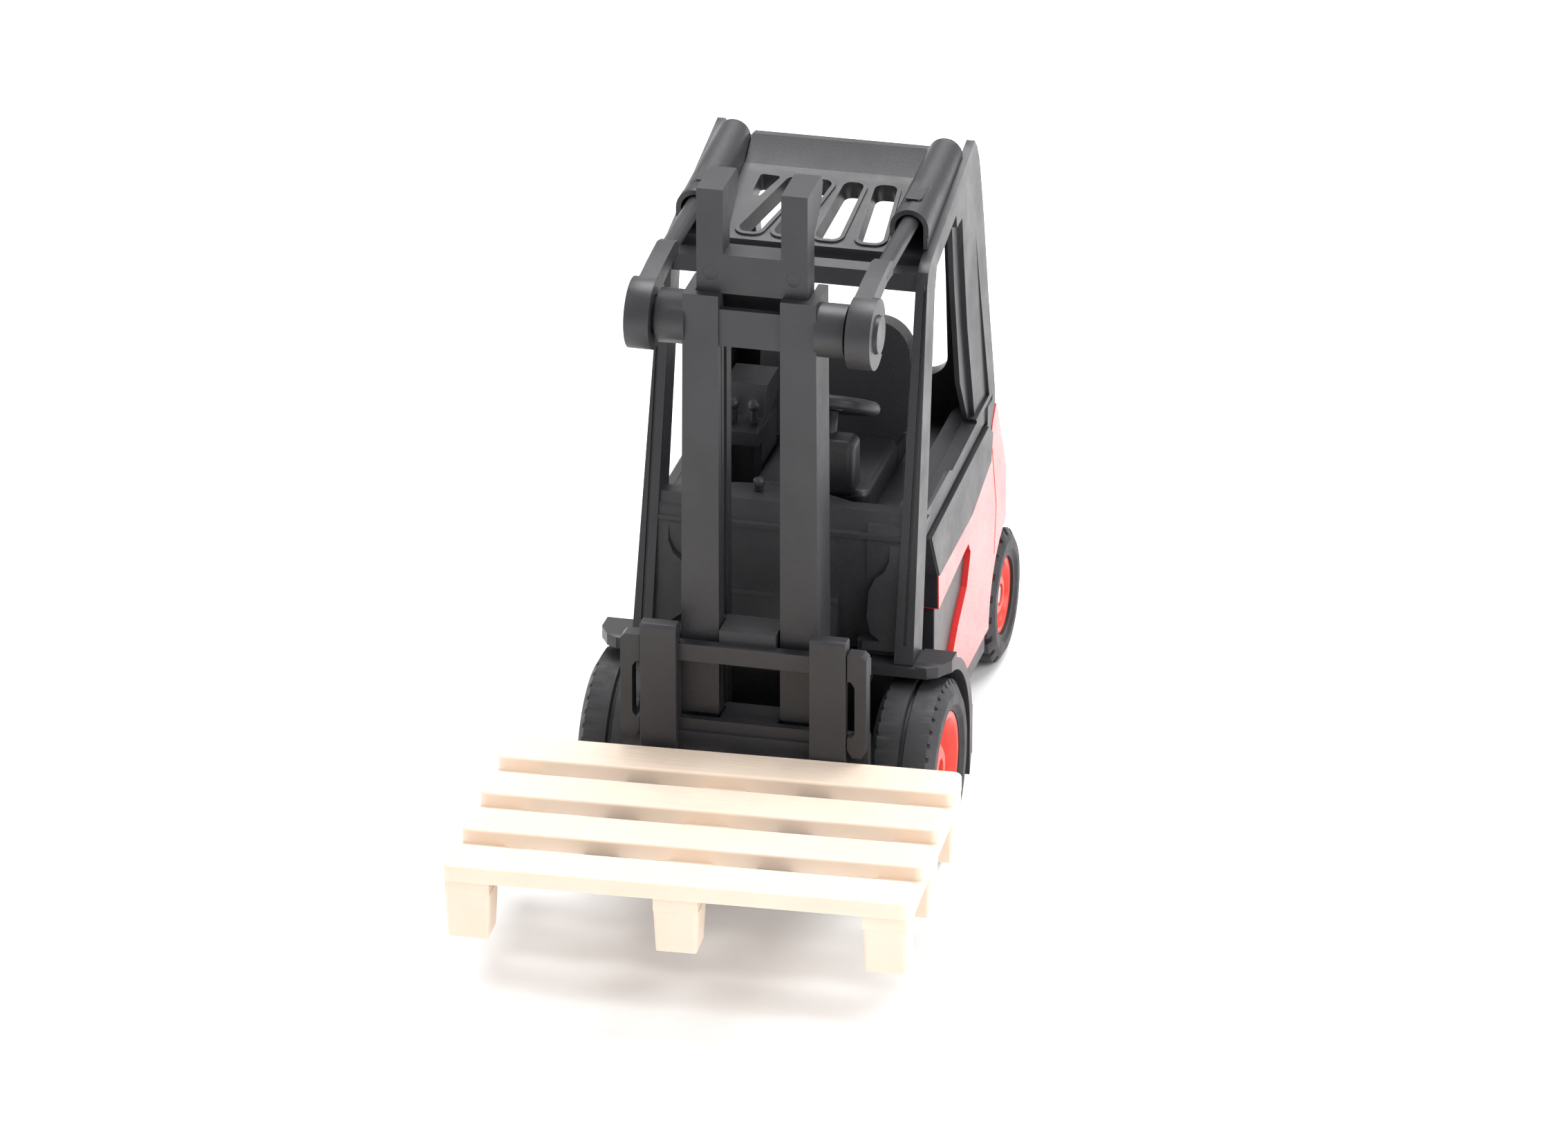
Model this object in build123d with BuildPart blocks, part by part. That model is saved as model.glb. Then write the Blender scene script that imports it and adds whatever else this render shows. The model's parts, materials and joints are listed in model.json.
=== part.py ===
from build123d import *
import os
from math import cos, radians, sin

# Toy forklift, about 1:50, with a loose pallet on its forks.
# Frame: +Z up, floor at Z = 0, forks point to -Y, +X is the driver's left.
# All sizes are in millimetres.

os.makedirs("parts", exist_ok=True)

# ---- driving dimensions ----
FRONT_AXLE_Y, FRONT_TYRE_R, FRONT_RIM_R = -4.6, 6.1, 4.0
REAR_AXLE_Y, REAR_TYRE_R, REAR_RIM_R = 26.4, 4.65, 2.7
FRONT_TRACK, FRONT_TYRE_W = 12.0, 4.4        # tyre's outer face from the centre, and its width
REAR_TRACK, REAR_TYRE_W = 9.1, 3.6
AXLE_R = 0.75
RUN = 0.05                                    # running clearance

BODY_X = 9.15                                 # half width of the red body
BODY_WALL = 1.2
BODY_END_Y = 34.05
SILL_Z = 5.0                                  # lower edge of the red body
ARCH_R = 6.3
FOOT_Z = 13.55                                # underside of the cab
HOOD_Z = 20.0                                 # the seat stands here
PLATE_LOW, PLATE_TOP = 3.6, 4.9               # base plate
REAR_RIVET_Y, CAB_RIVET_Y, RIVET_R = 31.0, 8.0, 0.9

PIVOT_Y, PIVOT_Z = -6.9, 3.6                  # mast tilt axis
NOSE_X, EAR_IN, EAR_OUT, EAR_R = 1.9, 2.15, 4.3, 1.5
RAIL_IN, RAIL_OUT, RAIL_FLARE = 2.05, 4.42, 0.26
RAIL_FRONT, RAIL_BACK = -11.05, -7.5
RAIL_LOW, RAIL_TOP = 2.4, 41.4
CHANNEL_X, CHANNEL_FRONT, CHANNEL_BACK = 3.75, -10.3, -8.25
STUB_Y, STUB_Z, STUB_R, PIN_R = -9.6, 39.15, 1.78, 1.25

BAR_IN, BAR_OUT = 2.0, 3.68                   # inner mast
CROWN_LOW, NOTCH_Z, PRONG_TOP = 41.3, 44.0, 48.5
INNER_LOW = 8.2

FORK_FACE, BAR_FACE, BAR_BACK = -13.05, -12.28, -11.45
CARRIAGE_X = 8.24
FORK_IN, FORK_OUT, FORK_TOP = 4.46, 6.89, 18.6
BLADE_TOP, BLADE_T, BLADE_TIP = 9.05, 1.05, -31.2

PALLET_Y, PALLET_YAW = -23.4, 2.5
PALLET_W, PALLET_D = 30.3, 20.0
PALLET_LOW, PALLET_TOP = 5.0, 10.2
SLAT_W, SLAT_T = 3.45, 1.1

CYL_X = 7.2                                   # roof cylinders and their rods
BORE_R, BORE_BACK_R, ROD_R = 0.96, 0.9, 0.575

LOW = (Align.CENTER, Align.CENTER, Align.MIN)


# ---- helpers ----
def save(builder, name):
    builder.part.label = name
    export_step(builder.part, f"parts/{name}.step")


def save_pair(builder, name):
    """The piece as built is the +X one; its twin is mirrored."""
    save(builder, f"{name}_left")
    with BuildPart() as twin:
        mirror(builder.part, about=Plane.YZ)
    save(twin, f"{name}_right")


def side(x):
    """Sketch plane at X = x, drawn in (Y, Z), extruding towards +X."""
    return Plane.YZ.offset(x)


def front(y):
    """Sketch plane at Y = y, drawn in (X, Z), extruding towards -Y."""
    return Plane.XZ.offset(-y)


def slab(plane, points, depth, mode=Mode.ADD, round_by=0):
    """Extrude a closed outline from a plane."""
    with BuildSketch(plane) as face:
        Polygon(*points)
        if round_by:
            fillet(face.vertices(), round_by)
    extrude(face.sketch, amount=depth, mode=mode)


def block(x, y, z, mode=Mode.ADD):
    """Box from (low, high) pairs."""
    with Locations(((x[0] + x[1]) / 2, (y[0] + y[1]) / 2, (z[0] + z[1]) / 2)):
        Box(x[1] - x[0], y[1] - y[0], z[1] - z[0], mode=mode)


def rod_x(y, z, radius, x0, x1, mode=Mode.ADD):
    """Cylinder along X."""
    with BuildSketch(side(x0)) as disc:
        with Locations((y, z)):
            Circle(radius)
    extrude(disc.sketch, amount=x1 - x0, mode=mode)


def post(x, y, z0, z1, radius, mode=Mode.ADD):
    """Cylinder along Z."""
    with Locations((x, y, z0)):
        Cylinder(radius, z1 - z0, align=LOW, mode=mode)


def ring_x(y, z, points):
    """Turn an (x, radius) outline about the axis along X at (y, z)."""
    with BuildSketch(Plane.XY) as face:
        Polygon(*[(x, r) for x, r in points])
    turned = revolve(face.sketch, axis=Axis.X, mode=Mode.PRIVATE)
    add(Pos(0, y, z) * turned)


# ---- chassis body: red side walls and counterweight ----
SEAM = [(20.75, 18.3), (22.2, 13.4), (21.7, 9.9)]
SEAM_W, SEAM_DEEP = 0.18, 0.2

with BuildPart() as chassis_body:
    profile = [
        (4.5, 15.9), (4.6, 13.4), (13.6, 14.2), (14.3, 13.3), (13.2, 11.2), (10.6, 9.6), (8.4, 7.6), (7.4, SILL_Z),
        (BODY_END_Y, SILL_Z), (BODY_END_Y, 14.6), (33.2, 15.6), (29.4, 17.3), (25.6, 18.9), (23.2, 20.2), (22.0, 20.9),
        (20.9, 19.8), (20.2, 17.35), (14.4, 15.95),
    ]
    slab(side(-BODY_X), profile, 2 * BODY_X)
    with BuildSketch(Plane.XY.offset(SILL_Z)) as plan:
        with BuildLine():
            Polyline((0, BODY_END_Y), (0, 0), (BODY_X, 0), (BODY_X, 23.8))
            ThreePointArc((BODY_X, 23.8), (8.1, 28.9), (5.0, 32.4))
            ThreePointArc((5.0, 32.4), (2.6, 33.7), (0, BODY_END_Y))
        make_face()
        mirror(about=Plane.YZ)
    extrude(plan.sketch, amount=20, mode=Mode.INTERSECT)
    for way in (1, -1):
        shoulder = Plane(origin=(way * BODY_X, 22.0, 20.9), z_dir=(way, 0.217, 0.121))
        split(bisect_by=shoulder, keep=Keep.BOTTOM)
    inner_x = BODY_X - BODY_WALL
    block((-inner_x, inner_x), (0, 21.4), (0, 25), Mode.SUBTRACT)
    hollow = [(7.95, 22.8), (7.9, 24.5), (6.9, 28.4), (4.2, 31.6), (0, 32.7)]
    slab(Plane.XY, hollow + [(-x, y) for x, y in reversed(hollow[:-1])], 14.6, Mode.SUBTRACT)
    rod_x(REAR_AXLE_Y, REAR_TYRE_R, ARCH_R, -BODY_X - 1, BODY_X + 1, Mode.SUBTRACT)
    post(0, REAR_RIVET_Y, SILL_Z, 16.0, 1.6)
    post(0, REAR_RIVET_Y, SILL_Z, 7.4, RIVET_R, Mode.SUBTRACT)
    for x in (-BODY_X, BODY_X - SEAM_DEEP):
        strip = [(y - SEAM_W / 2, z) for y, z in SEAM] + [(y + SEAM_W / 2, z) for y, z in reversed(SEAM)]
        slab(side(x), strip, SEAM_DEEP, Mode.SUBTRACT)
save(chassis_body, "chassis_body")

# ---- dark plates that fill the notch in the red sides ----
with BuildPart() as side_inset:
    plate = [(4.75, 13.3), (13.35, 14.05), (14.1, 13.2), (13.0, 11.3), (10.45, 9.75), (8.2, 7.7), (7.2, SILL_Z),
             (4.75, SILL_Z)]
    slab(side(BODY_X - BODY_WALL), plate, BODY_WALL - 0.35)
save_pair(side_inset, "side_inset")

# ---- base plate with axle lugs and the mast pivot lug ----
with BuildPart() as base_plate:
    block((-6.4, 6.4), (-5.1, 20.0), (PLATE_LOW, PLATE_TOP))
    block((-9.0, 9.0), (5.5, 19.5), (PLATE_LOW, PLATE_TOP))
    block((-4.6, 4.6), (19.0, 33.0), (PLATE_LOW, PLATE_TOP))
    block((-NOSE_X, NOSE_X), (PIVOT_Y, -5.0), (PIVOT_Z - 1.3, PLATE_TOP))
    rod_x(PIVOT_Y, PIVOT_Z, 1.4, -NOSE_X, NOSE_X)
    for x in (5.2, -6.4):
        slab(side(x), [(-6.4, PLATE_LOW), (-6.1, 7.8), (-3.1, 7.8), (-2.8, PLATE_LOW)], 1.2)
    for x in (3.4, -4.6):
        block((x, x + 1.2), (24.9, 27.9), (3.2, 6.4))
    rod_x(FRONT_AXLE_Y, FRONT_TYRE_R, AXLE_R + RUN, -7, 7, Mode.SUBTRACT)
    rod_x(REAR_AXLE_Y, REAR_TYRE_R, AXLE_R + RUN, -5, 5, Mode.SUBTRACT)
    rod_x(PIVOT_Y, PIVOT_Z, AXLE_R, -3, 3, Mode.SUBTRACT)
    for y in (CAB_RIVET_Y, REAR_RIVET_Y):
        post(0, y, PLATE_LOW - 1, PLATE_TOP + 1, RIVET_R, Mode.SUBTRACT)
save(base_plate, "base_plate")

# ---- rivets that hold the base plate to the posts above it ----
with BuildPart() as base_rivets:
    for y in (CAB_RIVET_Y, REAR_RIVET_Y):
        post(0, y, PLATE_LOW, PLATE_LOW + 3.4, RIVET_R)
        post(0, y, PLATE_LOW - 0.5, PLATE_LOW, 1.5)
save(base_rivets, "base_rivets")

# ---- pin through the base plate's nose and the mast's ears ----
with BuildPart() as mast_pivot_pin:
    rod_x(PIVOT_Y, PIVOT_Z, AXLE_R, -4.6, 4.6)
    chamfer(mast_pivot_pin.edges(), 0.12)
save(mast_pivot_pin, "mast_pivot_pin")

# ---- cab tub: floor, riser, seat hood and dashboard cowl ----
TUB_X = 6.9
with BuildPart() as cab_tub:
    profile = [
        (-2.0, FOOT_Z), (-1.1, 21.4), (0.0, 21.4), (-0.6, 14.8), (5.0, 14.8), (5.4, HOOD_Z), (20.6, HOOD_Z),
        (20.6, HOOD_Z - 1), (6.5, HOOD_Z - 1), (6.1, FOOT_Z),
    ]
    slab(side(-TUB_X), profile, 2 * TUB_X)
    with BuildSketch(Plane.XY.offset(21.2)) as cowl:
        with BuildLine():
            ThreePointArc((4.4, -0.7), (-1.6, 0.75), (-TUB_X, -0.4))
            Polyline((-TUB_X, -0.4), (-TUB_X, -0.92), (4.4, -0.92), (4.4, -0.7))
        make_face()
    extrude(cowl.sketch, amount=1.9)
    post(0, CAB_RIVET_Y, PLATE_TOP, HOOD_Z - 0.5, 1.8)
    post(0, CAB_RIVET_Y, PLATE_TOP, PLATE_TOP + 2.4, RIVET_R, Mode.SUBTRACT)
save(cab_tub, "cab_tub")

# ---- front fenders: bridge and two wheel arches in one piece ----
FENDER_IN, FENDER_X, FENDER_R, FENDER_OUT = 6.5, 11.85, 6.75, 7.55
with BuildPart() as front_fenders:
    width = FENDER_X - FENDER_IN
    rod_x(FRONT_AXLE_Y, FRONT_TYRE_R, FENDER_OUT, FENDER_IN, FENDER_X)
    block((FENDER_IN, FENDER_X), (1.6, FRONT_AXLE_Y + FENDER_OUT), (4.0, 7.5))
    slab(side(FENDER_IN), [(-5.1, 12.1), (-5.1, 13.35), (-4.8, 13.65), (-2, 13.6), (-2, 12.1)], width)
    rod_x(FRONT_AXLE_Y, FRONT_TYRE_R, FENDER_R, FENDER_IN - 1, FENDER_X + 1, Mode.SUBTRACT)
    block((FENDER_IN, FENDER_X), (-9, FRONT_AXLE_Y + FENDER_R), (-2, FRONT_TYRE_R), Mode.SUBTRACT)
    block((FENDER_IN, FENDER_X), (-13, -5.1), (-3, 15), Mode.SUBTRACT)
    block((FENDER_IN - 1, 9.7), (-6, 3), (FOOT_Z - RUN, 15), Mode.SUBTRACT)
    # the front lip sweeps back at its outer end
    sweep_back = [(10.5, -6), (10.5, -5.1), (11.2, -4.7), (11.9, -3.4), (12.5, -3.4), (12.5, -6)]
    slab(Plane.XY.offset(10), sweep_back, 6, Mode.SUBTRACT)
    mirror(about=Plane.YZ)
    bridge = [(-5.1, 12.35), (-5.1, 13.2), (-4.9, 13.4), (2.2, 13.4), (2.2, 4.95), (1.4, 4.95), (1.4, 12.6), (-4.4, 12.6),
              (-4.5, 12.35)]
    slab(side(-FENDER_IN - 0.3), bridge, 2 * FENDER_IN + 0.6)
save(front_fenders, "front_fenders")

# ---- cab frame: front panel, pillars, sill bands, roof rails, header, rear wall ----
POST_IN, POST_OUT = 8.2, 9.1
with BuildPart() as cab_frame:
    # pillars, roof rail and sill on the +X side
    outer = [
        (-4.72, FOOT_Z), (-0.4, 31.1), (1.3, 38.0), (1.75, 38.8), (2.7, 39.3), (15.4, 42.05), (16.4, 42.25), (17.2, 41.5),
        (17.8, 40.4), (18.4, 38.3), (19.0, 35.5), (20.2, 29.0), (21.3, 24.2), (21.95, 21.1), (20.85, 19.9), (20.13, 17.4),
        (14.4, 16.0), (4.4, 15.95), (4.4, FOOT_Z),
    ]
    slab(side(POST_IN), outer, 1.7)
    opening = [(0.14, 21.9), (3.55, 36.6), (4.35, 38.2), (10.4, 39.35), (11.4, 33.6), (13.3, 26.0), (15.9, 22.1)]
    slab(side(POST_IN - 1), opening, 3, Mode.SUBTRACT)
    # the sides lean inwards towards the roof
    split(bisect_by=Plane(origin=(9.5, -4.7, 14.0), z_dir=(1, 0.0084, 0.0197)), keep=Keep.BOTTOM)
    block((POST_OUT, 10), (1.3, 22.5), (13, 21.9), Mode.SUBTRACT)
    # the rear pillar steps inwards twice towards its front edge
    rear_step = [(15.5, 22.4), (19.9, 22.4), (17.5, 31.0), (16.3, 35.6), (15.6, 39.0), (10.3, 39.0), (13.0, 26.0)]
    slab(side(8.9), rear_step, 2, Mode.SUBTRACT)
    front_step = [(15.0, 22.4), (16.3, 22.4), (13.9, 29.8), (12.6, 35.8), (12.2, 38.4), (9.8, 38.4), (12.0, 26.0)]
    slab(side(8.55), front_step, 2, Mode.SUBTRACT)
    # groove down the front pillar
    groove = [(-4.9, 14.8), (-0.5, 32.2), (0.9, 37.4), (0.9, 38.2), (1.3, 38.2), (1.42, 37.4), (0.02, 32.1),
              (-4.25, 14.8)]
    slab(side(8.75), groove, 0.2, Mode.SUBTRACT)
    # inner side wall, and the ledge under the sill
    liner = [(-3.0, FOOT_Z), (-1.2, 21.9), (17.5, 21.9), (21.2, 21.2), (21.2, 16.2), (21.2, FOOT_Z)]
    slab(side(TUB_X + 0.1), liner, BODY_X - BODY_WALL - 0.1 - TUB_X - 0.05)
    ledge = [(1.25, 21.9), (17.5, 21.9), (20.9, 20.2), (20.13, 17.45), (14.4, 16.05), (4.4, 16.0)]
    slab(side(TUB_X + 0.1), ledge, POST_IN - TUB_X)
    # the wall between the pillar and the sill is set well back
    setback = [(-1.92, FOOT_Z), (-1.92, 13.6), (0.04, 21.5), (1.25, 21.5), (1.4, 20.4), (4.35, 15.95), (4.4, FOOT_Z)]
    slab(side(7.9), setback, 3, Mode.SUBTRACT)
    # sill: rounded upper bar, groove, and a lower band proud of the red side
    band = [(1.3, 21.5), (1.5, 20.4), (4.4, 15.95), (14.4, 16.0), (20.13, 17.4), (20.7, 19.3), (18.6, 20.9), (16.2, 21.9),
            (1.5, 21.9)]
    slab(side(POST_OUT - 0.1), band, 0.25)
    slab(side(POST_OUT - 0.35), [(1.0, 19.75), (19.6, 20.35), (19.6, 20.6), (1.0, 20.05)], 1, Mode.SUBTRACT)
    slab(side(POST_OUT - 0.15), [(1.0, 20.0), (19.6, 20.5), (19.6, 22.0), (1.0, 22.0)], 1, Mode.SUBTRACT)
    slab(front(1.0), [(8.75, 22.0), (9.3, 22.0), (9.3, 21.35)], -20, Mode.SUBTRACT)
    # front panel with two cross ridges and the raised pad beside the pillar's foot
    panel = [(-3.6, FOOT_Z), (-3.6, 14.2), (-3.1, 16.5), (-3.1, 16.8), (-2.8, 16.95), (-2.45, 21.3), (-2.7, 21.4),
             (-2.7, 21.7), (-2.35, 21.8), (-2.1, 23.2), (-0.95, 23.2), (-1.15, 21.8), (-2.15, FOOT_Z)]
    slab(side(0), panel, POST_IN + 0.3)
    pad = [(-4.1, 14.1), (-3.4, 16.9), (-2.75, 21.0), (-2.45, 22.3), (-2.0, 22.6), (-2.6, 14.1)]
    slab(side(5.9), pad, POST_IN - 5.6)
    bevel = [(5.5, 12), (5.5, 14.6), (7.1, 14.7), (6.4, 15.2), (6.1, 16.2), (6.15, 17.9), (6.5, 18.7), (7.1, 19.2),
             (7.45, 20.0), (7.5, 23.0), (5.0, 23.1), (4.0, 23.1), (4.0, 12)]
    slab(Plane.XZ.offset(2.72), bevel, 3, Mode.SUBTRACT)
    mirror(about=Plane.YZ)
    # header over the windscreen
    slab(side(-POST_IN - 0.2), [(1.45, 37.5), (1.75, 38.6), (2.8, 38.75), (3.1, 37.9), (2.4, 37.4)], 2 * POST_IN + 0.4)
    # rear wall with its window
    wall = [(20.4, 21.15), (21.9, 21.2), (20.1, 29.0), (18.3, 38.0), (17.5, 40.5), (16.05, 40.5), (18.4, 31.0)]
    slab(side(-POST_IN - 0.2), wall, 2 * POST_IN + 0.4)
    slab(side(-TUB_X - 0.2), [(20.85, 19.2), (21.2, 19.2), (21.2, 21.4), (20.4, 21.4)], 2 * TUB_X + 0.4)
    slab(front(30), [(-6.25, 23.4), (6.25, 23.4), (6.55, 38.6), (-6.55, 38.6)], 20, Mode.SUBTRACT, 1.7)
save(cab_frame, "cab_frame")

# ---- roof panel: slotted grille and raised rear visor ----
SLOTS = [(-3.9, -1.95, 1.6, 1.35), (-1.5, -0.2, 1.5, 1.3), (1.45, 1.85, 1.7, 1.35), (4.4, 4.0, 1.7, 1.5)]
SLOT_FRONT, SLOT_BACK, BEAD = 4.45, 11.4, 0.28
ROOF_FRONT, ROOF_SLOPE = 3.7, 10.2
roof_plane = Plane(
    origin=(0, ROOF_FRONT, 39.17), x_dir=(1, 0, 0), z_dir=(0, -sin(radians(ROOF_SLOPE)), cos(radians(ROOF_SLOPE)))
)


def slot_shape(near, far, near_w, far_w, grow):
    """Tapering slot in the grille, as a face on the roof plane."""
    with BuildSketch(roof_plane, mode=Mode.PRIVATE) as hole:
        start, end = SLOT_FRONT - ROOF_FRONT, SLOT_BACK - ROOF_FRONT
        Polygon((near - near_w / 2, start), (near + near_w / 2, start), (far + far_w / 2, end), (far - far_w / 2, end))
        fillet(hole.vertices(), 0.55)
        if grow:
            offset(amount=grow)
    return hole.sketch


with BuildPart() as roof_panel:
    profile = [(ROOF_FRONT, 39.17), (12.6, 40.77), (13.4, 41.3), (14.6, 42.1), (15.5, 41.95), (16.4, 41.15), (16.4, 40.6),
               (15.85, 40.6), (15.85, 40.2), (ROOF_FRONT, 38.0)]
    slab(side(-POST_IN + RUN), profile, 2 * POST_IN - 2 * RUN)
    for x in (-9.0, 5.95):
        slab(side(x), [(12.4, 40.75), (16.6, 41.4), (16.6, 43), (12.4, 43)], 3.05, Mode.SUBTRACT)
    for slot in SLOTS:
        extrude(slot_shape(*slot, BEAD), amount=0.14, both=True)
    for slot in SLOTS:
        extrude(slot_shape(*slot, 0), amount=3, both=True, mode=Mode.SUBTRACT)
    slab(Plane.XY.offset(38), [(-4.7, 8.9), (-4.1, 8.9), (-3.2, 11.4), (-4.6, 11.5)], 4, Mode.SUBTRACT, 0.2)
save(roof_panel, "roof_panel")

# ---- tilt cylinders: channels on the roof, open at the front and below ----
CYL_FRONT, CYL_BACK = (3.7, 41.0, 1.24), (14.5, 41.85, 1.18)          # y, z, radius


def arch_loft(front_radius, back_radius, front_foot, back_foot, y_back):
    """Arch-section bar that runs back along the roof, as a solid."""
    with BuildPart(mode=Mode.PRIVATE) as bar:
        for y, radius, foot in ((CYL_FRONT[0], front_radius, front_foot), (y_back, back_radius, back_foot)):
            z = CYL_FRONT[1] + (y - CYL_FRONT[0]) * (CYL_BACK[1] - CYL_FRONT[1]) / (CYL_BACK[0] - CYL_FRONT[0])
            with BuildSketch(front(y)):
                with Locations((CYL_X, z)):
                    Circle(radius)
                with Locations((CYL_X, (z + foot) / 2)):
                    Rectangle(2 * radius, z - foot)
        loft()
    return bar.part


with BuildPart() as tilt_cylinder:
    add(arch_loft(CYL_FRONT[2], CYL_BACK[2], 39.25, 41.1, CYL_BACK[0]))
    add(arch_loft(CYL_FRONT[2] + 0.06, CYL_FRONT[2] + 0.04, 40.4, 40.7, CYL_FRONT[0] + 0.9))
    # panel on the crown of the front half
    with BuildSketch(Plane.XY.offset(41.9)) as label_panel:
        with Locations((CYL_X - 0.1, 6.7)):
            RectangleRounded(1.1, 3.0, 0.3)
    extrude(label_panel.sketch, amount=0.56)
    add(arch_loft(BORE_R, BORE_BACK_R, 38.0, 39.5, 12.5), mode=Mode.SUBTRACT)
    roof_cut = [(0, 36), (0, 38.6), (ROOF_FRONT, 39.22), (12.6, 40.82), (16, 41.43), (16, 36)]
    slab(side(0), roof_cut, 12, Mode.SUBTRACT)
    rail_cut = [(0, 36), (0, 38.9), (2.7, 39.4), (15.4, 42.15), (18, 42.6), (18, 36)]
    slab(side(POST_IN - RUN), rail_cut, 2, Mode.SUBTRACT)
save_pair(tilt_cylinder, "tilt_cylinder")

# ---- tilt rods: open ring on the mast's pin, arm, and rod into the cylinder ----
ROD_Y, ROD_Z, ROD_RISE = -2.35, 41.22, 0.01
with BuildPart() as tilt_rod:
    rod_x(STUB_Y, STUB_Z, 2.35, 6.5, 8.15)
    arm = [(-10.2, 40.4), (-9.9, 41.4), (-7.3, 41.75), (-4.4, 42.0), (-3.4, 41.75), (-3.4, 40.75), (-5.0, 40.85),
           (-7.4, 40.4)]
    slab(side(6.55), arm, 1.2)
    rod_x(STUB_Y, STUB_Z, PIN_R + RUN, 6.0, 9.0, Mode.SUBTRACT)
    slab(side(6.0), [(-9.6, 39.9), (-9.6, 38.2), (-7.2, 36.4), (-5.0, 38.4), (-7.2, 39.6)], 3, Mode.SUBTRACT)
    shaft = Plane(origin=(CYL_X, -5.0, ROD_Z + (-5.0 - ROD_Y) * ROD_RISE), x_dir=(1, 0, 0), z_dir=(0, 1, ROD_RISE))
    with BuildSketch(shaft) as disc:
        Circle(ROD_R)
    extrude(disc.sketch, amount=11.4)
save_pair(tilt_rod, "tilt_rod")

# ---- outer mast: two channel rails, top beam, rear tie, ears and side stubs ----
FLANGE_LOW, BEAM_LOW, BEAM_TOP = 11.7, 37.87, 40.44
with BuildPart() as outer_mast:
    wide = RAIL_OUT + RAIL_FLARE
    slab(front(RAIL_BACK), [(RAIL_IN, RAIL_LOW), (wide, RAIL_LOW), (RAIL_OUT, RAIL_TOP), (RAIL_IN, RAIL_TOP)],
         RAIL_BACK - RAIL_FRONT)
    block((0, CHANNEL_X), (CHANNEL_FRONT, CHANNEL_BACK), (0, 50), Mode.SUBTRACT)
    block((0, 6), (-12, CHANNEL_FRONT), (0, FLANGE_LOW), Mode.SUBTRACT)
    block((0, CHANNEL_X), (CHANNEL_BACK - 0.1, -7), (40.0, 50), Mode.SUBTRACT)
    block((0, RAIL_IN + 0.1), (-10.85, -10.32), (BEAM_LOW, BEAM_TOP))
    block((0, RAIL_IN + 0.1), (-8.2, RAIL_BACK), (6.2, 10.0))
    rod_x(STUB_Y, STUB_Z, STUB_R, 4.3, 6.25)
    rod_x(STUB_Y, STUB_Z, PIN_R, 6.0, 8.4)
    ear = [(-7.6, 2.6), (-7.3, PIVOT_Z - EAR_R + 0.1), (PIVOT_Y, PIVOT_Z - EAR_R), (-5.6, 2.9), (PIVOT_Y + EAR_R, PIVOT_Z),
           (-5.7, 4.5), (-7.4, 7.8), (-7.6, 7.8)]
    slab(side(EAR_IN), ear, EAR_OUT - EAR_IN)
    rod_x(PIVOT_Y, PIVOT_Z, EAR_R, EAR_IN, EAR_OUT)
    block((0, CHANNEL_X), (CHANNEL_FRONT, CHANNEL_BACK), (0, 10), Mode.SUBTRACT)
    rod_x(PIVOT_Y, PIVOT_Z, AXLE_R + RUN, 2.0, 5.0, Mode.SUBTRACT)
    mirror(about=Plane.YZ)
save(outer_mast, "outer_mast")

# ---- inner mast: two bars, crown plate and two hooked prongs ----
with BuildPart() as inner_mast:
    block((BAR_IN, BAR_OUT), (-10.25, -8.3), (INNER_LOW, CROWN_LOW + 0.1))
    block((BAR_IN - 0.1, BAR_IN + 0.5), (-9.7, -8.9), (INNER_LOW - 1, 40.9), Mode.SUBTRACT)
    block((0, BAR_OUT), (-10.25, -8.3), (CROWN_LOW, NOTCH_Z))
    block((0, BAR_IN + 0.1), (-8.95, -8.3), (39.6, CROWN_LOW + 0.1))
    hook = [(-10.25, NOTCH_Z - 0.1), (-10.25, PRONG_TOP), (-6.4, PRONG_TOP), (-5.9, 47.9), (-6.3, 46.7), (-8.3, 45.2),
            (-8.3, NOTCH_Z - 0.1)]
    slab(side(1.93), hook, BAR_OUT - 1.93)
    with Locations((2.75, -10.25, 42.7)):
        Cylinder(0.5, 0.1, rotation=(90, 0, 0), mode=Mode.SUBTRACT)
    mirror(about=Plane.YZ)
save(inner_mast, "inner_mast")

# ---- fork carriage: two cross bars, side plates and guide blocks ----
with BuildPart() as fork_carriage:
    block((0, CARRIAGE_X), (BAR_FACE, BAR_BACK), (15.9, 17.1))
    slab(side(0), [(BAR_FACE - 0.02, 7.6), (BAR_FACE - 0.02, 10.85), (BAR_FACE + 0.25, 10.85), (BAR_FACE + 0.25, 11.65),
                   (BAR_BACK, 11.65), (BAR_BACK, 7.6)], CARRIAGE_X)
    plate = [(6.95, 17.7), (6.95, 10.9), (7.3, 10.35), (7.9, 10.35), (CARRIAGE_X, 10.9), (CARRIAGE_X, 17.4), (7.95, 17.7)]
    slab(front(-11.75), plate, 1.1)
    slot = [(6.5, 11.8), (7.2, 11.8), (7.45, 12.1), (7.45, 15.4), (7.2, 15.8), (6.5, 15.8)]
    slab(front(-11.3), slot, 2, Mode.SUBTRACT)
    block((FORK_IN, 6.5), (BAR_FACE + 0.2, BAR_BACK), (11.0, 16.5))
    for z0, z1 in ((8.4, 11.65), (15.9, 18.0)):
        block((0, 1.9), (-11.6, -8.95), (z0, z1))
        block((0, 2.35), (-9.6, -9.0), (z0, z1))
    mirror(about=Plane.YZ)
save(fork_carriage, "fork_carriage")

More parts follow.
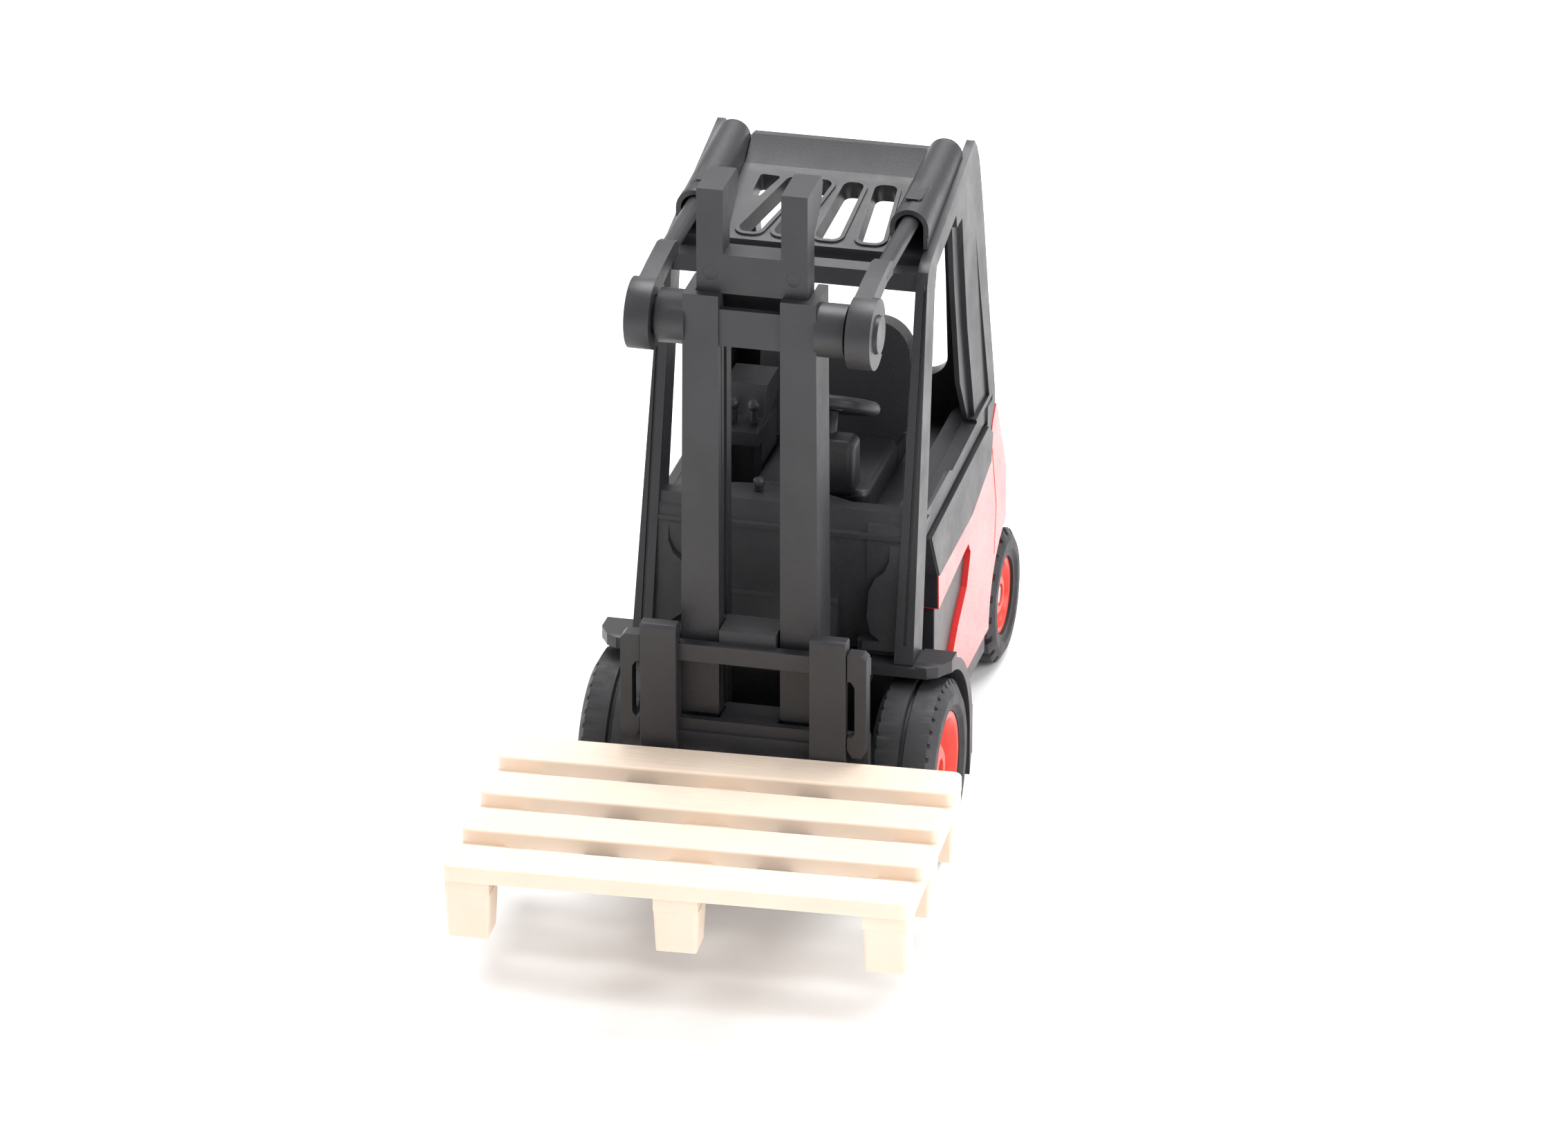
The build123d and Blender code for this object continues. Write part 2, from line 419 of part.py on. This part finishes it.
# ---- forks: hook over the top bar, upright and tapering blade ----
with BuildPart() as fork:
    shape = [
        (BAR_FACE - 0.03, 8.0), (BAR_FACE - 0.03, 17.15), (-11.8, 17.15), (-11.8, FORK_TOP - 0.2), (-12.0, FORK_TOP),
        (FORK_FACE + 0.2, FORK_TOP), (FORK_FACE, FORK_TOP - 0.2), (FORK_FACE, BLADE_TOP), (-29.8, BLADE_TOP),
        (BLADE_TIP, 8.65), (BLADE_TIP, 8.35), (-28.4, 8.0),
    ]
    slab(side(FORK_IN), shape, FORK_OUT - FORK_IN)
    tips = [(FORK_IN - 0.1, BLADE_TIP - 0.1), (FORK_IN + 0.7, BLADE_TIP - 0.1), (FORK_IN - 0.1, BLADE_TIP + 1.6)]
    slab(Plane.XY, tips, 12, Mode.SUBTRACT)
    middle = FORK_IN + FORK_OUT
    slab(Plane.XY, [(middle - x, y) for x, y in tips], 12, Mode.SUBTRACT)
save_pair(fork, "fork")

# ---- pallet: four slats, three runners and nine tapered feet, moulded in one ----
LEG_TOP, RUNNER_TOP = 8.1, PALLET_TOP - SLAT_T
LEG_ROWS, LEG_COLUMNS = (-8.25, 0, 8.25), (-13.6, 0, 13.6)
with BuildPart() as pallet_square:
    pitch = (PALLET_D - SLAT_W) / 3
    for row in range(4):
        with BuildSketch(Plane.XY.offset(RUNNER_TOP)) as slat:
            with Locations((0, (row - 1.5) * pitch)):
                RectangleRounded(PALLET_W, SLAT_W, 0.6)
        extrude(slat.sketch, amount=SLAT_T)
    fillet(pallet_square.edges().group_by(Axis.Z)[-1], 0.22)
    for x in LEG_COLUMNS:
        with Locations((x, 0, (LEG_TOP + RUNNER_TOP + 0.1) / 2)):
            Box(2.9, PALLET_D - 0.5, RUNNER_TOP + 0.1 - LEG_TOP)
    for x in LEG_COLUMNS:
        for y in LEG_ROWS:
            with BuildSketch(Plane(origin=(x, y, LEG_TOP + 0.1), z_dir=(0, 0, -1))) as leg:
                RectangleRounded(3.0, 2.9, 0.35)
            extrude(leg.sketch, amount=LEG_TOP + 0.1 - PALLET_LOW - (0.2 if x == 0 else 0), taper=3.2)
with BuildPart() as pallet:
    add(Pos(0, PALLET_Y, 0) * Rot(0, 0, PALLET_YAW) * pallet_square.part)
save(pallet, "pallet")

# ---- seat ----
with BuildPart() as seat:
    block((-3.2, 4.6), (3.2, 12.6), (HOOD_Z + RUN, 22.0))
    fillet(seat.edges().filter_by(Axis.Z), 0.8)
    fillet(seat.edges().group_by(Axis.Z)[-1], 0.5)
    with BuildSketch(Plane(origin=(0, 12.4, 21.0), x_dir=(1, 0, 0), z_dir=(0, -1, 0.16))) as back:
        with Locations((0, 4.4)):
            RectangleRounded(10.2, 8.9, 2.4)
    extrude(back.sketch, amount=-1.9)
    block((-4.0, 4.6), (12.2, 14.6), (HOOD_Z + RUN, 21.5))
save(seat, "seat")

# ---- armrest console and its two levers ----
with BuildPart() as armrest_console:
    block((-6.4, -3.35), (6.5, 10.5), (HOOD_Z + RUN, 24.4))
    block((-5.9, -3.9), (6.0, 7.0), (HOOD_Z, 23.2), Mode.SUBTRACT)
    pad = [(5.5, 23.5), (5.5, 24.5), (7.3, 24.8), (7.9, 26.5), (8.3, 26.8), (11.5, 26.8), (11.5, 25.3), (8.6, 24.3),
           (7.5, 23.3)]
    slab(side(-6.3), pad, 2.9)
    fillet(armrest_console.edges().filter_by(Axis.X).group_by(Axis.Z)[-1], 0.15)
save(armrest_console, "armrest_console")

with BuildPart() as control_levers:
    for x in (-5.3, -3.9):
        post(x, 6.4, 24.85, 26.0, 0.3)
        with Locations((x, 6.4, 26.1)):
            Sphere(0.42)
save(control_levers, "control_levers")

with BuildPart() as dash_knob:
    post(-1.9, -0.4, 23.1 + RUN, 23.6, 0.3)
    post(-1.9, -0.4, 23.5, 24.0, 0.38)
    chamfer(dash_knob.edges().group_by(Axis.Z)[-1], 0.12)
save(dash_knob, "dash_knob")

# ---- steering column and wheel ----
WHEEL_C, WHEEL_R, WHEEL_T = (1.9, 4.4, 27.6), 2.75, 0.45
LEAN = (0, 0.47, 0.88)
wheel_plane = Plane(origin=WHEEL_C, x_dir=(1, 0, 0), z_dir=LEAN)
with BuildPart() as steering_column:
    block((-0.9, 4.0), (1.7, 4.0), (22.1, 26.1))
    fillet(steering_column.edges(), 0.6)
    post(1.9, 2.4, 14.85, 22.6, 0.7)
    with BuildSketch(wheel_plane.offset(-4.4)) as shaft_end:
        Circle(0.5)
    extrude(shaft_end.sketch, amount=4.0)
save(steering_column, "steering_column")

with BuildPart() as steering_wheel:
    with Locations(wheel_plane):
        Torus(WHEEL_R, WHEEL_T)
        Cylinder(0.75, 0.7)
        Box(2 * WHEEL_R, 0.7, 0.35)
    with BuildSketch(wheel_plane.offset(-0.17)) as spoke:
        with Locations((0, -WHEEL_R / 2)):
            Rectangle(0.7, WHEEL_R)
    extrude(spoke.sketch, amount=0.35)
save(steering_wheel, "steering_wheel")

# ---- axles ----
with BuildPart() as front_axle:
    rod_x(FRONT_AXLE_Y, FRONT_TYRE_R, AXLE_R, -FRONT_TRACK + 0.9, FRONT_TRACK - 0.9)
    chamfer(front_axle.edges(), 0.15)
save(front_axle, "front_axle")

with BuildPart() as rear_axle:
    rod_x(REAR_AXLE_Y, REAR_TYRE_R, AXLE_R, -REAR_TRACK + 0.6, REAR_TRACK - 0.6)
    chamfer(rear_axle.edges(), 0.15)
save(rear_axle, "rear_axle")

# ---- wheels: outlines are (x, radius), outer face towards +X ----
GRIP = 0.02                                   # rim on axle and tyre on rim

with BuildPart() as front_rim:
    hub = AXLE_R + GRIP
    ring_x(FRONT_AXLE_Y, FRONT_TYRE_R, [
        (7.7, hub), (7.7, 1.9), (8.3, 1.9), (8.3, 3.4), (7.9, 3.4), (7.9, FRONT_RIM_R), (11.7, FRONT_RIM_R),
        (11.7, 3.55), (11.2, 3.2), (10.7, 3.0), (10.5, 2.2), (11.1, 1.9), (11.4, 1.3), (11.4, hub),
    ])
save_pair(front_rim, "front_rim")

with BuildPart() as rear_rim:
    ring_x(REAR_AXLE_Y, REAR_TYRE_R, [
        (5.6, hub), (5.6, 1.5), (6.1, 1.5), (6.1, 2.2), (5.7, 2.2), (5.7, REAR_RIM_R), (8.7, REAR_RIM_R),
        (8.7, 2.3), (8.3, 2.1), (8.1, 1.7), (8.1, 1.5), (8.5, 1.4), (8.6, 1.1), (8.6, hub),
    ])
save_pair(rear_rim, "rear_rim")


def tread_cuts(y, z, radius, deep, wide, x0, x1, count, turn):
    """Notches across the tread between X = x0 and x1."""
    spots = [
        Pos(0, y, z) * Rot(turn + step * 360 / count, 0, 0) * Pos((x0 + x1) / 2, 0, radius) for step in range(count)
    ]
    with Locations(*spots):
        Box(x1 - x0, wide, 2 * deep, mode=Mode.SUBTRACT)


with BuildPart() as front_tyre:
    a, b, r, rim = FRONT_TRACK - FRONT_TYRE_W, FRONT_TRACK, FRONT_TYRE_R, FRONT_RIM_R + GRIP
    ring_x(FRONT_AXLE_Y, FRONT_TYRE_R, [
        (a, rim), (a, 5.2), (a + 0.5, r), (9.6, r), (9.7, r - 0.35), (9.9, r - 0.35), (10.0, r), (b - 0.5, r),
        (b, 5.2), (b, 4.5), (b - 0.25, 4.3), (b - 0.25, rim),
    ])
    tread_cuts(FRONT_AXLE_Y, FRONT_TYRE_R, r, 0.3, 0.32, a - 0.1, a + 0.55, 40, 0)
    tread_cuts(FRONT_AXLE_Y, FRONT_TYRE_R, r, 0.3, 0.32, b - 0.55, b + 0.1, 40, 4.5)
save_pair(front_tyre, "front_tyre")

with BuildPart() as rear_tyre:
    a, b, r, rim = REAR_TRACK - REAR_TYRE_W, REAR_TRACK, REAR_TYRE_R, REAR_RIM_R + GRIP
    ring_x(REAR_AXLE_Y, REAR_TYRE_R, [
        (a, rim), (a, 3.9), (a + 0.45, r), (b - 0.45, r), (b, 3.9), (b, 3.3), (b - 0.2, 3.1), (b - 0.2, rim),
    ])
    tread_cuts(REAR_AXLE_Y, REAR_TYRE_R, r, 0.45, 0.5, a - 0.1, a + 1.5, 18, 0)
    tread_cuts(REAR_AXLE_Y, REAR_TYRE_R, r, 0.45, 0.5, b - 1.5, b + 0.1, 18, 10)
save_pair(rear_tyre, "rear_tyre")
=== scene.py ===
import json
import math

import bmesh
import bpy
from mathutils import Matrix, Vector


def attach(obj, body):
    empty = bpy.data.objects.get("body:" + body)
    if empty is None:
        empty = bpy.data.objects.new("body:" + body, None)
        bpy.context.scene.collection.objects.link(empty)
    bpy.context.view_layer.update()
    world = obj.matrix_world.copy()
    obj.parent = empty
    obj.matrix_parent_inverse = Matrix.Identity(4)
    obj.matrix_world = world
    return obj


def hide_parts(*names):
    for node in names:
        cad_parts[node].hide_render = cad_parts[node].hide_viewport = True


MM = 0.001
MERGE_DISTANCE = 0.002 * MM
FLAT_ANGLE = math.radians(0.6)                  # facets closer than this are one flat face
SHARP_ANGLE = math.radians(40)
BEVEL_ANGLE = math.radians(28)
BEVEL_SEGMENTS = 2
FLOOR_HALF = 3.0

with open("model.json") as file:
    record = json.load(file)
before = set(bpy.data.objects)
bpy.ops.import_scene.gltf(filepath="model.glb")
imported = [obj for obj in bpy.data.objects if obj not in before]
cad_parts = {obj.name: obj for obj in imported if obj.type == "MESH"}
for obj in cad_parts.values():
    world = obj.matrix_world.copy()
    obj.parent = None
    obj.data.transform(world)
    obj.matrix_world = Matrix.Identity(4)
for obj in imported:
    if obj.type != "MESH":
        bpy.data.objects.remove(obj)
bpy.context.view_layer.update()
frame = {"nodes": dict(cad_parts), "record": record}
BODY_OF = {n: b for b, ns in frame["record"]["behaviour"]["bodies"].items() for n in ns}
SLOT_OF = {s["node"]: s["material_slot"] for s in frame["record"]["subparts"]}


# ---------------------------------------------------------------- materials
def node_tree(name):
    """Material with a Principled shader; gives back the material, its node tree and the shader."""
    mat = bpy.data.materials.new(name)
    mat.use_nodes = True
    tree = mat.node_tree
    return mat, tree, tree.nodes["Principled BSDF"]


def add_node(tree, kind, values=None, links=None, **settings):
    node = tree.nodes.new(kind)
    for key, value in settings.items():
        setattr(node, key, value)
    for key, value in (values or {}).items():
        node.inputs[key].default_value = value
    for key, source in (links or {}).items():
        tree.links.new(source, node.inputs[key])
    return node


def object_point(tree, stretch=(1, 1, 1)):
    """Position on the piece in metres, stretched along each axis."""
    coord = add_node(tree, "ShaderNodeTexCoord")
    mapping = add_node(tree, "ShaderNodeMapping", {"Scale": stretch}, {"Vector": coord.outputs["Object"]})
    return mapping.outputs["Vector"]


def noise(tree, vector, scale, detail=4.0, rough=0.6):
    node = add_node(
        tree, "ShaderNodeTexNoise", {"Scale": scale, "Detail": detail, "Roughness": rough}, {"Vector": vector}
    )
    return node.outputs["Fac"]


def remap(tree, source, low, high, to_low, to_high):
    node = add_node(
        tree, "ShaderNodeMapRange",
        {"From Min": low, "From Max": high, "To Min": to_low, "To Max": to_high}, {"Value": source},
    )
    return node.outputs["Result"]


def ramp(tree, source, stops):
    node = add_node(tree, "ShaderNodeValToRGB", links={"Fac": source})
    elements = node.color_ramp.elements
    while len(elements) < len(stops):
        elements.new(0.5)
    for element, (position, colour) in zip(elements, stops):
        element.position = position
        element.color = (*colour, 1)
    return node.outputs["Color"]


def bump(tree, height, strength, distance, under=None):
    links = {"Height": height}
    if under is not None:
        links["Normal"] = under
    node = add_node(tree, "ShaderNodeBump", {"Strength": strength, "Distance": distance}, links)
    return node.outputs["Normal"]


def plastic(name, dark, light, rough, grain, depth):
    """Moulded plastic: slight tone drift, spark-eroded grain, rubbed patches in the gloss."""
    mat, tree, shader = node_tree(name)
    point = object_point(tree)
    tone = noise(tree, point, 90, 5)
    fine = noise(tree, point, grain, 3, 0.7)
    tree.links.new(ramp(tree, tone, [(0.3, dark), (0.7, light)]), shader.inputs["Base Color"])
    rub = noise(tree, point, 260, 6, 0.65)
    tree.links.new(remap(tree, rub, 0.3, 0.7, rough[0], rough[1]), shader.inputs["Roughness"])
    broad = bump(tree, noise(tree, point, 420, 3), 0.25, 0.02 * MM)
    tree.links.new(bump(tree, fine, depth, 0.02 * MM, broad), shader.inputs["Normal"])
    return mat


def lacquer(name, dark, light):
    """Sprayed gloss paint on die-cast metal, with a faint orange peel."""
    mat, tree, shader = node_tree(name)
    point = object_point(tree)
    tone = noise(tree, point, 60, 4)
    tree.links.new(ramp(tree, tone, [(0.3, dark), (0.7, light)]), shader.inputs["Base Color"])
    tree.links.new(remap(tree, noise(tree, point, 300, 5), 0.3, 0.7, 0.22, 0.34), shader.inputs["Roughness"])
    peel = bump(tree, noise(tree, point, 1500, 2), 0.12, 0.03 * MM)
    tree.links.new(peel, shader.inputs["Normal"])
    shader.inputs["Coat Weight"].default_value = 0.35
    shader.inputs["Coat Roughness"].default_value = 0.12
    return mat


def tyre_rubber(name):
    mat, tree, shader = node_tree(name)
    point = object_point(tree)
    tone = noise(tree, point, 300, 6)
    colour = ramp(tree, tone, [(0.3, (0.012, 0.012, 0.014)), (0.75, (0.030, 0.030, 0.034))])
    tree.links.new(colour, shader.inputs["Base Color"])
    tree.links.new(remap(tree, noise(tree, point, 900, 5), 0.3, 0.7, 0.5, 0.72), shader.inputs["Roughness"])
    tree.links.new(bump(tree, noise(tree, point, 6000, 3), 0.35, 0.02 * MM), shader.inputs["Normal"])
    return mat


def steel_wire(name):
    mat, tree, shader = node_tree(name)
    point = object_point(tree, (40, 1, 1))
    tone = noise(tree, point, 900, 3)
    colour = ramp(tree, tone, [(0.3, (0.35, 0.35, 0.36)), (0.7, (0.6, 0.6, 0.6))])
    tree.links.new(colour, shader.inputs["Base Color"])
    tree.links.new(remap(tree, noise(tree, point, 1200, 4), 0.3, 0.7, 0.25, 0.45), shader.inputs["Roughness"])
    shader.inputs["Metallic"].default_value = 1.0
    return mat


def pallet_plastic(name):
    """Cream plastic whose slat tops carry a moulded wood grain along the slats."""
    mat, tree, shader = node_tree(name)
    point = object_point(tree)
    grain_point = object_point(tree, (0.10, 1.0, 1.0))
    grain = noise(tree, grain_point, 2600, 6, 0.7)
    wave = noise(tree, grain_point, 900, 3, 0.6)
    tone = ramp(tree, noise(tree, point, 120, 3), [(0.3, (0.74, 0.60, 0.48)), (0.7, (0.80, 0.67, 0.55))])
    tree.links.new(tone, shader.inputs["Base Color"])
    tree.links.new(remap(tree, noise(tree, point, 700, 4), 0.3, 0.7, 0.42, 0.6), shader.inputs["Roughness"])
    geometry = add_node(tree, "ShaderNodeNewGeometry")
    up = add_node(tree, "ShaderNodeSeparateXYZ", links={"Vector": geometry.outputs["Normal"]})
    flat_top = remap(tree, up.outputs["Z"], 0.8, 0.95, 0.0, 1.0)
    both = add_node(tree, "ShaderNodeMath", {1: 0.5}, {0: wave}, operation="MULTIPLY")
    height = add_node(tree, "ShaderNodeMath", links={0: grain, 1: both.outputs[0]}, operation="ADD")
    masked = add_node(tree, "ShaderNodeMath", links={0: height.outputs[0], 1: flat_top}, operation="MULTIPLY")
    tree.links.new(bump(tree, masked.outputs[0], 0.7, 0.12 * MM), shader.inputs["Normal"])
    shader.inputs["Subsurface Weight"].default_value = 0.15
    shader.inputs["Subsurface Radius"].default_value = (0.6 * MM, 0.4 * MM, 0.25 * MM)
    shader.inputs["Subsurface Scale"].default_value = 1.0
    return mat


MATERIALS = {
    "red_metal": lacquer("red_lacquer", (0.70, 0.030, 0.028), (0.76, 0.040, 0.036)),
    "black_plastic": plastic(
        "black_plastic", (0.016, 0.016, 0.019), (0.026, 0.026, 0.030), (0.34, 0.50), 9000, 0.55
    ),
    "inset_plastic": plastic(
        "inset_plastic", (0.022, 0.022, 0.025), (0.034, 0.034, 0.038), (0.30, 0.42), 5000, 0.3
    ),
    "steel": steel_wire("steel_wire"),
    "red_plastic": plastic(
        "red_plastic", (0.62, 0.035, 0.018), (0.72, 0.050, 0.026), (0.26, 0.40), 5000, 0.2
    ),
    "tyre": tyre_rubber("tyre_rubber"),
    "pallet_plastic": pallet_plastic("pallet_plastic"),
}


# ---------------------------------------------------------------- pieces
def place(obj, node):
    """The piece stands for this CAD node, rides on its body and takes its finish."""
    slot = SLOT_OF[node]
    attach(obj, BODY_OF[node])
    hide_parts(node)
    obj.data.materials.clear()
    obj.data.materials.append(MATERIALS[slot])


def new_object(name, mesh):
    obj = bpy.data.objects.new(name, mesh)
    bpy.context.scene.collection.objects.link(obj)
    return obj


def apply_modifiers(obj):
    graph = bpy.context.evaluated_depsgraph_get()
    mesh = bpy.data.meshes.new_from_object(obj.evaluated_get(graph))
    obj.modifiers.clear()
    obj.data = mesh


def softened(node, width):
    """The node's own shape with its moulded edges rounded."""
    mesh = frame["nodes"][node].data.copy()
    bm = bmesh.new()
    bm.from_mesh(mesh)
    bmesh.ops.remove_doubles(bm, verts=bm.verts, dist=MERGE_DISTANCE)
    bmesh.ops.dissolve_limit(
        bm, angle_limit=FLAT_ANGLE, use_dissolve_boundaries=False, verts=bm.verts, edges=bm.edges
    )
    bm.to_mesh(mesh)
    bm.free()
    if mesh.has_custom_normals:
        mesh.normals_split_custom_set([(0, 0, 0)] * len(mesh.loops))
    obj = new_object(node + "_looks", mesh)
    bevel = obj.modifiers.new("edges", "BEVEL")
    bevel.width = width * MM
    bevel.segments = BEVEL_SEGMENTS
    bevel.limit_method = "ANGLE"
    bevel.angle_limit = BEVEL_ANGLE
    bevel.use_clamp_overlap = True
    bevel.harden_normals = False
    bevel.miter_outer = "MITER_ARC"
    apply_modifiers(obj)
    shade(obj)
    place(obj, node)


def shade(obj):
    """Smooth shading that stays sharp at the remaining corners."""
    obj.data.shade_smooth()
    obj.data.set_sharp_from_angle(angle=SHARP_ANGLE)
    weighted = obj.modifiers.new("normals", "WEIGHTED_NORMAL")
    weighted.keep_sharp = True
    apply_modifiers(obj)


# rounding of each piece's moulded edges, mm
EDGE = {
    "chassis_body": 0.30, "side_inset_left": 0.08, "side_inset_right": 0.08, "base_plate": 0.12,
    "base_rivets": 0.12, "cab_frame": 0.13, "cab_tub": 0.20, "roof_panel": 0.07,
    "front_fenders": 0.14, "seat": 0.10, "armrest_console": 0.14, "control_levers": 0.05,
    "dash_knob": 0.05, "steering_column": 0.05, "steering_wheel": 0.04, "tilt_cylinder_left": 0.07,
    "tilt_cylinder_right": 0.07, "mast_pivot_pin": 0.04, "outer_mast": 0.11, "inner_mast": 0.11,
    "fork_carriage": 0.12, "fork_left": 0.13, "fork_right": 0.13, "tilt_rod_left": 0.12,
    "tilt_rod_right": 0.12, "pallet": 0.10, "front_axle": 0.04, "rear_axle": 0.04,
    "front_rim_left": 0.08, "front_rim_right": 0.08, "rear_rim_left": 0.06, "rear_rim_right": 0.06,
    "front_tyre_left": 0.09, "front_tyre_right": 0.09, "rear_tyre_left": 0.09,
    "rear_tyre_right": 0.09,
}
for node_name, edge_width in EDGE.items():
    softened(node_name, edge_width)

# ---------------------------------------------------------------- camera, floor and light
AIM = Vector((0.78, -4.6, 19.6)) * MM
AZIMUTH, ELEVATION, REACH, LENS = 13.4, 24.6, 765 * MM, 267.9


def make_camera():
    camera = bpy.data.cameras.new("camera")
    camera.lens = LENS
    camera.sensor_width = 36
    camera.clip_start = 0.05
    camera.clip_end = 10
    obj = bpy.data.objects.new("camera", camera)
    bpy.context.scene.collection.objects.link(obj)
    a, e = math.radians(AZIMUTH), math.radians(ELEVATION)
    back = Vector((math.sin(a) * math.cos(e), -math.cos(a) * math.cos(e), math.sin(e)))
    obj.location = AIM + back * REACH
    obj.rotation_mode = "QUATERNION"
    obj.rotation_quaternion = (-back).to_track_quat("-Z", "Y")
    bpy.context.scene.camera = obj


def make_floor():
    mesh = bpy.data.meshes.new("floor")
    corners = [(-1, -1), (1, -1), (1, 1), (-1, 1)]
    mesh.from_pydata([(x * FLOOR_HALF, y * FLOOR_HALF, 0) for x, y in corners], [], [(0, 1, 2, 3)])
    floor = new_object("floor", mesh)
    mat, tree, shader = node_tree("floor_paper")
    point = object_point(tree)
    tone = noise(tree, point, 4, 2)
    colour = ramp(tree, tone, [(0.3, (0.90, 0.90, 0.90)), (0.7, (0.92, 0.92, 0.92))])
    tree.links.new(colour, shader.inputs["Base Color"])
    shader.inputs["Roughness"].default_value = 0.85
    shader.inputs["Specular IOR Level"].default_value = 0.1
    mesh.materials.append(mat)


def area_light(name, place_at, aim, size, energy, colour=(1, 1, 1)):
    light = bpy.data.lights.new(name, "AREA")
    light.shape = "RECTANGLE"
    light.size, light.size_y = size
    light.energy = energy
    light.color = colour
    obj = bpy.data.objects.new(name, light)
    bpy.context.scene.collection.objects.link(obj)
    obj.location = place_at
    obj.rotation_mode = "QUATERNION"
    obj.rotation_quaternion = (Vector(aim) - Vector(place_at)).to_track_quat("-Z", "Y")


def make_light():
    world = bpy.data.worlds.new("studio")
    world.use_nodes = True
    world.node_tree.nodes["Background"].inputs["Color"].default_value = (1, 1, 1, 1)
    world.node_tree.nodes["Background"].inputs["Strength"].default_value = 0.75
    bpy.context.scene.world = world
    area_light("top_back", (0.05, 0.35, 0.75), (0, 0, 0.01), (0.7, 0.5), 9)
    area_light("right", (0.7, -0.25, 0.45), (0, 0, 0.02), (0.5, 0.5), 4)
    area_light("left", (-0.7, -0.2, 0.4), (0, 0, 0.02), (0.4, 0.5), 2)
    bpy.context.scene.view_settings.view_transform = "Standard"


make_camera()
make_floor()
make_light()
